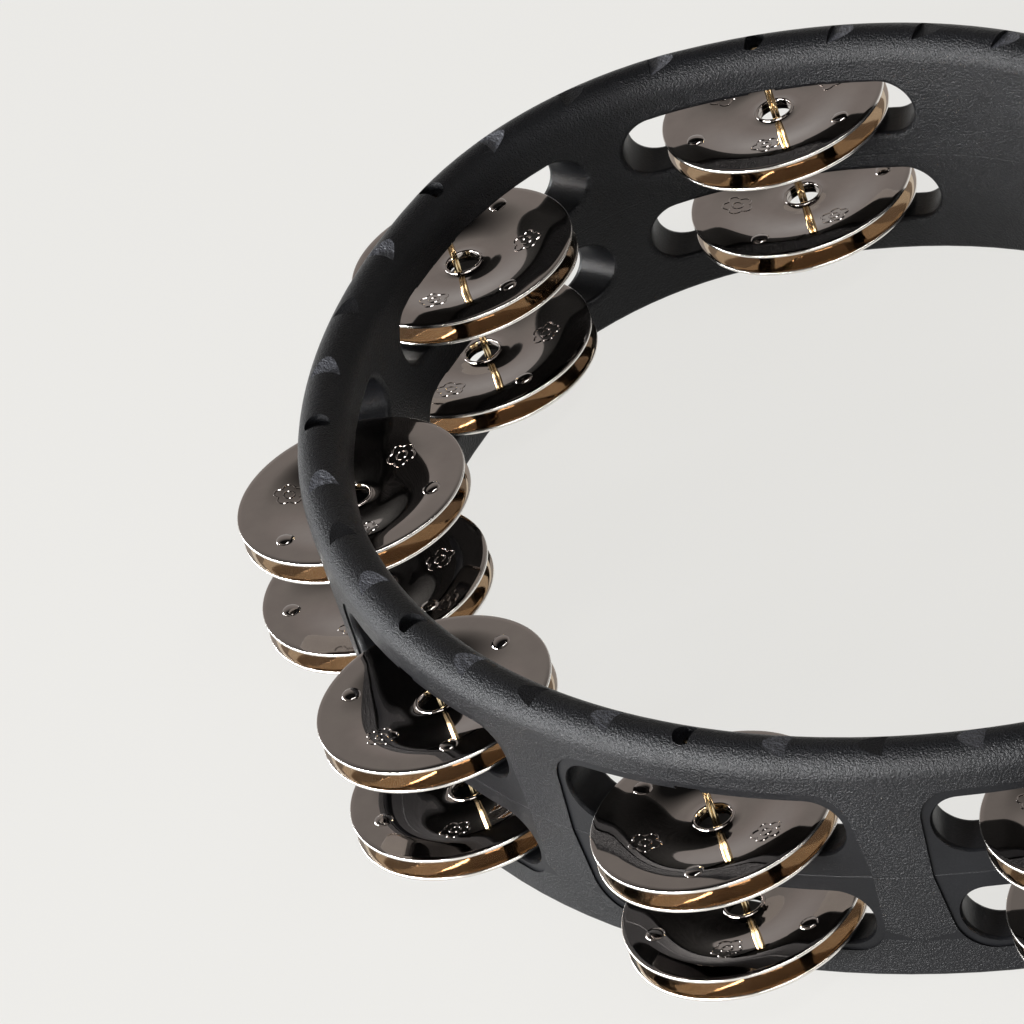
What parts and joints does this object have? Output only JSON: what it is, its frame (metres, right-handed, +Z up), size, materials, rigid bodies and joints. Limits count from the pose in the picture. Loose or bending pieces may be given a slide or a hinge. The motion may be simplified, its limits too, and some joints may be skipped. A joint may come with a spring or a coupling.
{
  "type": "tambourine",
  "caption": "Mountable D-shaped tambourine: black moulded ring with a notched round playing edge, rows of paired dark nickel jingles, and a rod clamp.",
  "frame": {"origin": "middle of the part's box, on the plane of the frame's flat bottom edge", "axes": "+Z up, towards the notched playing edge; -Y towards the front of the jingle bow; +Y towards the straight back bar with the rod clamp; X is the width"},
  "size_m": [0.3218, 0.2392, 0.0515],
  "materials": {
    "moulded_black": "fine stippled moulding, satin",
    "dark_nickel": "black nickel plating, mirror polish",
    "brass_wire": "bright brass-plated wire",
    "clamp_steel": "bright zinc or chrome plating"
  },
  "bodies": {
    "frame": {"frame": "moulded_black", "jingle_pin_a": "brass_wire", "jingle_pin_b": "brass_wire", "jingle_pin_c": "brass_wire", "jingle_pin_d": "brass_wire", "jingle_pin_e": "brass_wire", "jingle_pin_f": "brass_wire", "jingle_pin_g": "brass_wire", "jingle_pin_h": "brass_wire", "clamp_washer": "clamp_steel"},
    "jingle_a_lower_bottom": {"jingle_a_lower_bottom": "dark_nickel"},
    "jingle_a_lower_top": {"jingle_a_lower_top": "dark_nickel"},
    "jingle_a_upper_bottom": {"jingle_a_upper_bottom": "dark_nickel"},
    "jingle_a_upper_top": {"jingle_a_upper_top": "dark_nickel"},
    "jingle_b_lower_bottom": {"jingle_b_lower_bottom": "dark_nickel"},
    "jingle_b_lower_top": {"jingle_b_lower_top": "dark_nickel"},
    "jingle_b_upper_bottom": {"jingle_b_upper_bottom": "dark_nickel"},
    "jingle_b_upper_top": {"jingle_b_upper_top": "dark_nickel"},
    "jingle_c_lower_bottom": {"jingle_c_lower_bottom": "dark_nickel"},
    "jingle_c_lower_top": {"jingle_c_lower_top": "dark_nickel"},
    "jingle_c_upper_bottom": {"jingle_c_upper_bottom": "dark_nickel"},
    "jingle_c_upper_top": {"jingle_c_upper_top": "dark_nickel"},
    "jingle_d_lower_bottom": {"jingle_d_lower_bottom": "dark_nickel"},
    "jingle_d_lower_top": {"jingle_d_lower_top": "dark_nickel"},
    "jingle_d_upper_bottom": {"jingle_d_upper_bottom": "dark_nickel"},
    "jingle_d_upper_top": {"jingle_d_upper_top": "dark_nickel"},
    "jingle_e_lower_bottom": {"jingle_e_lower_bottom": "dark_nickel"},
    "jingle_e_lower_top": {"jingle_e_lower_top": "dark_nickel"},
    "jingle_e_upper_bottom": {"jingle_e_upper_bottom": "dark_nickel"},
    "jingle_e_upper_top": {"jingle_e_upper_top": "dark_nickel"},
    "jingle_f_lower_bottom": {"jingle_f_lower_bottom": "dark_nickel"},
    "jingle_f_lower_top": {"jingle_f_lower_top": "dark_nickel"},
    "jingle_f_upper_bottom": {"jingle_f_upper_bottom": "dark_nickel"},
    "jingle_f_upper_top": {"jingle_f_upper_top": "dark_nickel"},
    "jingle_g_lower_bottom": {"jingle_g_lower_bottom": "dark_nickel"},
    "jingle_g_lower_top": {"jingle_g_lower_top": "dark_nickel"},
    "jingle_g_upper_bottom": {"jingle_g_upper_bottom": "dark_nickel"},
    "jingle_g_upper_top": {"jingle_g_upper_top": "dark_nickel"},
    "jingle_h_lower_bottom": {"jingle_h_lower_bottom": "dark_nickel"},
    "jingle_h_lower_top": {"jingle_h_lower_top": "dark_nickel"},
    "jingle_h_upper_bottom": {"jingle_h_upper_bottom": "dark_nickel"},
    "jingle_h_upper_top": {"jingle_h_upper_top": "dark_nickel"},
    "clamp_wing_nut": {"clamp_wing_nut": "clamp_steel"},
    "clamp_eyebolt": {"clamp_eyebolt": "clamp_steel"}
  },
  "joints": [
    {"name": "jingle_a_lower_bottom_spin", "type": "hinge", "parent": "frame", "child": "jingle_a_lower_bottom", "pos_m": [-0.11031, 0.07093, 0.00905], "axis": [0, 0, 1], "continuous": true},
    {"name": "jingle_a_lower_top_slide", "type": "slide", "parent": "frame", "child": "jingle_a_lower_top", "axis": [0, 0, 1], "range_m": [0, 0.0055]},
    {"name": "jingle_a_upper_bottom_spin", "type": "hinge", "parent": "frame", "child": "jingle_a_upper_bottom", "pos_m": [-0.11031, 0.07093, 0.03025], "axis": [0, 0, 1], "continuous": true},
    {"name": "jingle_a_upper_top_slide", "type": "slide", "parent": "frame", "child": "jingle_a_upper_top", "axis": [0, 0, 1], "range_m": [0, 0.0055]},
    {"name": "jingle_b_lower_bottom_spin", "type": "hinge", "parent": "frame", "child": "jingle_b_lower_bottom", "pos_m": [-0.13786, 0.00498, 0.00905], "axis": [0, 0, 1], "continuous": true},
    {"name": "jingle_b_lower_top_slide", "type": "slide", "parent": "frame", "child": "jingle_b_lower_top", "axis": [0, 0, 1], "range_m": [0, 0.0055]},
    {"name": "jingle_b_upper_bottom_spin", "type": "hinge", "parent": "frame", "child": "jingle_b_upper_bottom", "pos_m": [-0.13786, 0.00498, 0.03025], "axis": [0, 0, 1], "continuous": true},
    {"name": "jingle_b_upper_top_slide", "type": "slide", "parent": "frame", "child": "jingle_b_upper_top", "axis": [0, 0, 1], "range_m": [0, 0.0055]},
    {"name": "jingle_c_lower_bottom_spin", "type": "hinge", "parent": "frame", "child": "jingle_c_lower_bottom", "pos_m": [-0.1027, -0.06059, 0.00905], "axis": [0, 0, 1], "continuous": true},
    {"name": "jingle_c_lower_top_slide", "type": "slide", "parent": "frame", "child": "jingle_c_lower_top", "axis": [0, 0, 1], "range_m": [0, 0.0055]},
    {"name": "jingle_c_upper_bottom_spin", "type": "hinge", "parent": "frame", "child": "jingle_c_upper_bottom", "pos_m": [-0.1027, -0.06059, 0.03025], "axis": [0, 0, 1], "continuous": true},
    {"name": "jingle_c_upper_top_slide", "type": "slide", "parent": "frame", "child": "jingle_c_upper_top", "axis": [0, 0, 1], "range_m": [0, 0.0055]},
    {"name": "jingle_d_lower_bottom_spin", "type": "hinge", "parent": "frame", "child": "jingle_d_lower_bottom", "pos_m": [-0.03736, -0.09663, 0.00905], "axis": [0, 0, 1], "continuous": true},
    {"name": "jingle_d_lower_top_slide", "type": "slide", "parent": "frame", "child": "jingle_d_lower_top", "axis": [0, 0, 1], "range_m": [0, 0.0055]},
    {"name": "jingle_d_upper_bottom_spin", "type": "hinge", "parent": "frame", "child": "jingle_d_upper_bottom", "pos_m": [-0.03736, -0.09663, 0.03025], "axis": [0, 0, 1], "continuous": true},
    {"name": "jingle_d_upper_top_slide", "type": "slide", "parent": "frame", "child": "jingle_d_upper_top", "axis": [0, 0, 1], "range_m": [0, 0.0055]},
    {"name": "jingle_e_lower_bottom_spin", "type": "hinge", "parent": "frame", "child": "jingle_e_lower_bottom", "pos_m": [0.03736, -0.09663, 0.00905], "axis": [0, 0, 1], "continuous": true},
    {"name": "jingle_e_lower_top_slide", "type": "slide", "parent": "frame", "child": "jingle_e_lower_top", "axis": [0, 0, 1], "range_m": [0, 0.0055]},
    {"name": "jingle_e_upper_bottom_spin", "type": "hinge", "parent": "frame", "child": "jingle_e_upper_bottom", "pos_m": [0.03736, -0.09663, 0.03025], "axis": [0, 0, 1], "continuous": true},
    {"name": "jingle_e_upper_top_slide", "type": "slide", "parent": "frame", "child": "jingle_e_upper_top", "axis": [0, 0, 1], "range_m": [0, 0.0055]},
    {"name": "jingle_f_lower_bottom_spin", "type": "hinge", "parent": "frame", "child": "jingle_f_lower_bottom", "pos_m": [0.1027, -0.06059, 0.00905], "axis": [0, 0, 1], "continuous": true},
    {"name": "jingle_f_lower_top_slide", "type": "slide", "parent": "frame", "child": "jingle_f_lower_top", "axis": [0, 0, 1], "range_m": [0, 0.0055]},
    {"name": "jingle_f_upper_bottom_spin", "type": "hinge", "parent": "frame", "child": "jingle_f_upper_bottom", "pos_m": [0.1027, -0.06059, 0.03025], "axis": [0, 0, 1], "continuous": true},
    {"name": "jingle_f_upper_top_slide", "type": "slide", "parent": "frame", "child": "jingle_f_upper_top", "axis": [0, 0, 1], "range_m": [0, 0.0055]},
    {"name": "jingle_g_lower_bottom_spin", "type": "hinge", "parent": "frame", "child": "jingle_g_lower_bottom", "pos_m": [0.13786, 0.00498, 0.00905], "axis": [0, 0, 1], "continuous": true},
    {"name": "jingle_g_lower_top_slide", "type": "slide", "parent": "frame", "child": "jingle_g_lower_top", "axis": [0, 0, 1], "range_m": [0, 0.0055]},
    {"name": "jingle_g_upper_bottom_spin", "type": "hinge", "parent": "frame", "child": "jingle_g_upper_bottom", "pos_m": [0.13786, 0.00498, 0.03025], "axis": [0, 0, 1], "continuous": true},
    {"name": "jingle_g_upper_top_slide", "type": "slide", "parent": "frame", "child": "jingle_g_upper_top", "axis": [0, 0, 1], "range_m": [0, 0.0055]},
    {"name": "jingle_h_lower_bottom_spin", "type": "hinge", "parent": "frame", "child": "jingle_h_lower_bottom", "pos_m": [0.11031, 0.07093, 0.00905], "axis": [0, 0, 1], "continuous": true},
    {"name": "jingle_h_lower_top_slide", "type": "slide", "parent": "frame", "child": "jingle_h_lower_top", "axis": [0, 0, 1], "range_m": [0, 0.0055]},
    {"name": "jingle_h_upper_bottom_spin", "type": "hinge", "parent": "frame", "child": "jingle_h_upper_bottom", "pos_m": [0.11031, 0.07093, 0.03025], "axis": [0, 0, 1], "continuous": true},
    {"name": "jingle_h_upper_top_slide", "type": "slide", "parent": "frame", "child": "jingle_h_upper_top", "axis": [0, 0, 1], "range_m": [0, 0.0055]},
    {"name": "wing_nut_turn", "type": "hinge", "parent": "frame", "child": "clamp_wing_nut", "pos_m": [0, 0.08723, 0.024], "axis": [0, -1, 0], "range_deg": [0, 1440]},
    {"name": "eyebolt_slide", "type": "slide", "parent": "frame", "child": "clamp_eyebolt", "axis": [0, 1, 0], "range_m": [0, 0.004]}
  ],
  "couplings": [
    {"joint": "eyebolt_slide", "follows": "wing_nut_turn", "m_per_rad": 0.00015915}
  ]
}
